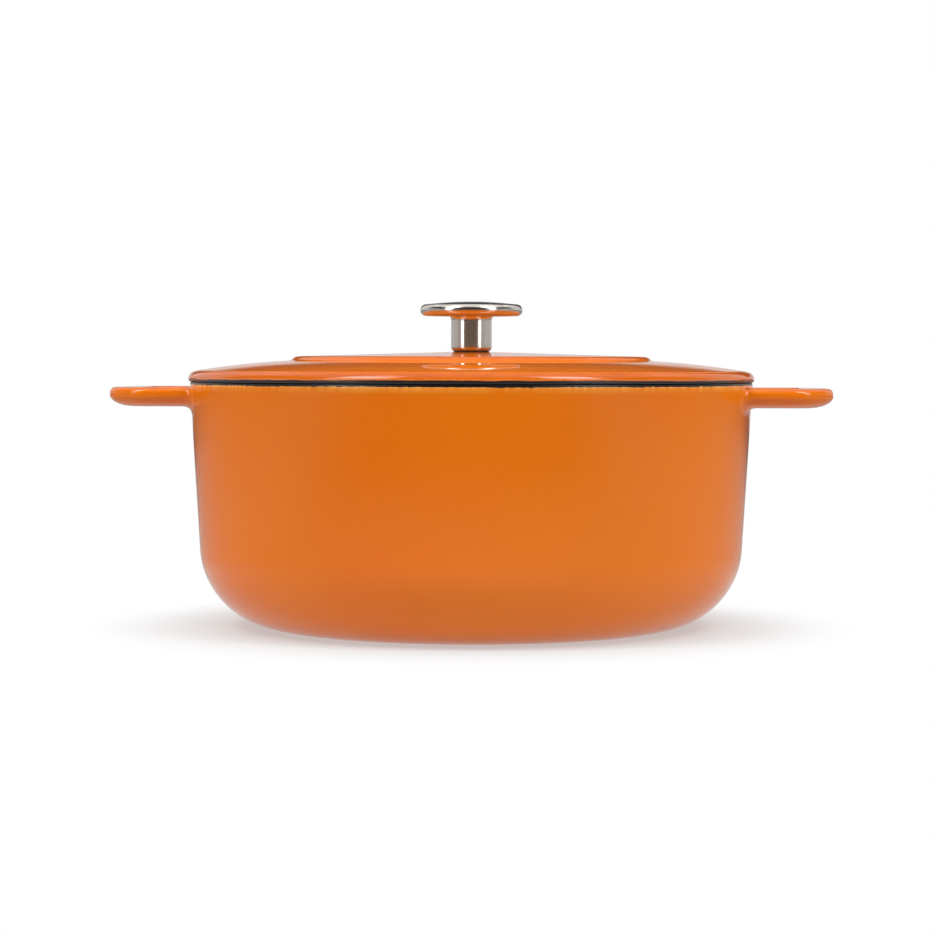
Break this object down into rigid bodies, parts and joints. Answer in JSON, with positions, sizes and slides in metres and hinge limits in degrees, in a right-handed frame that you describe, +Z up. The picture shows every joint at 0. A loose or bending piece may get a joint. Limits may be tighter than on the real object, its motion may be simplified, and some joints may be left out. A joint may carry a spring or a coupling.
{
  "type": "cast iron dutch oven",
  "caption": "Round enamelled cast iron dutch oven with two loop handles, a low lift-off lid with a raised panel, and a hollow steel knob screwed on from below.",
  "frame": {"origin": "centre of the plane that the pot stands on", "axes": "+X along the two handles, +Z up along the pot's axis"},
  "size_m": [0.3638, 0.2864, 0.1649],
  "materials": {
    "orange_enamel": "glossy orange vitreous enamel on cast iron",
    "black_enamel": "satin black enamel inside the pot, on its rim and under the lid",
    "stainless_steel": "polished stainless steel sheet",
    "zinc_plated_steel": "zinc-plated steel",
    "dark_gasket": "matt heat-resistant gasket"
  },
  "bodies": {
    "pot": {"pot_body": "orange_enamel"},
    "lid": {"lid": "orange_enamel", "knob_gasket": "dark_gasket", "knob_stem": "stainless_steel", "knob_cap": "stainless_steel", "knob_insert": "zinc_plated_steel", "flat_washer": "zinc_plated_steel", "lock_washer": "zinc_plated_steel", "knob_screw": "zinc_plated_steel"}
  },
  "joints": [
    {"name": "lid_lift", "type": "slide", "parent": "pot", "child": "lid", "axis": [0, 0, 1], "range_m": [0, 0.15]}
  ]
}
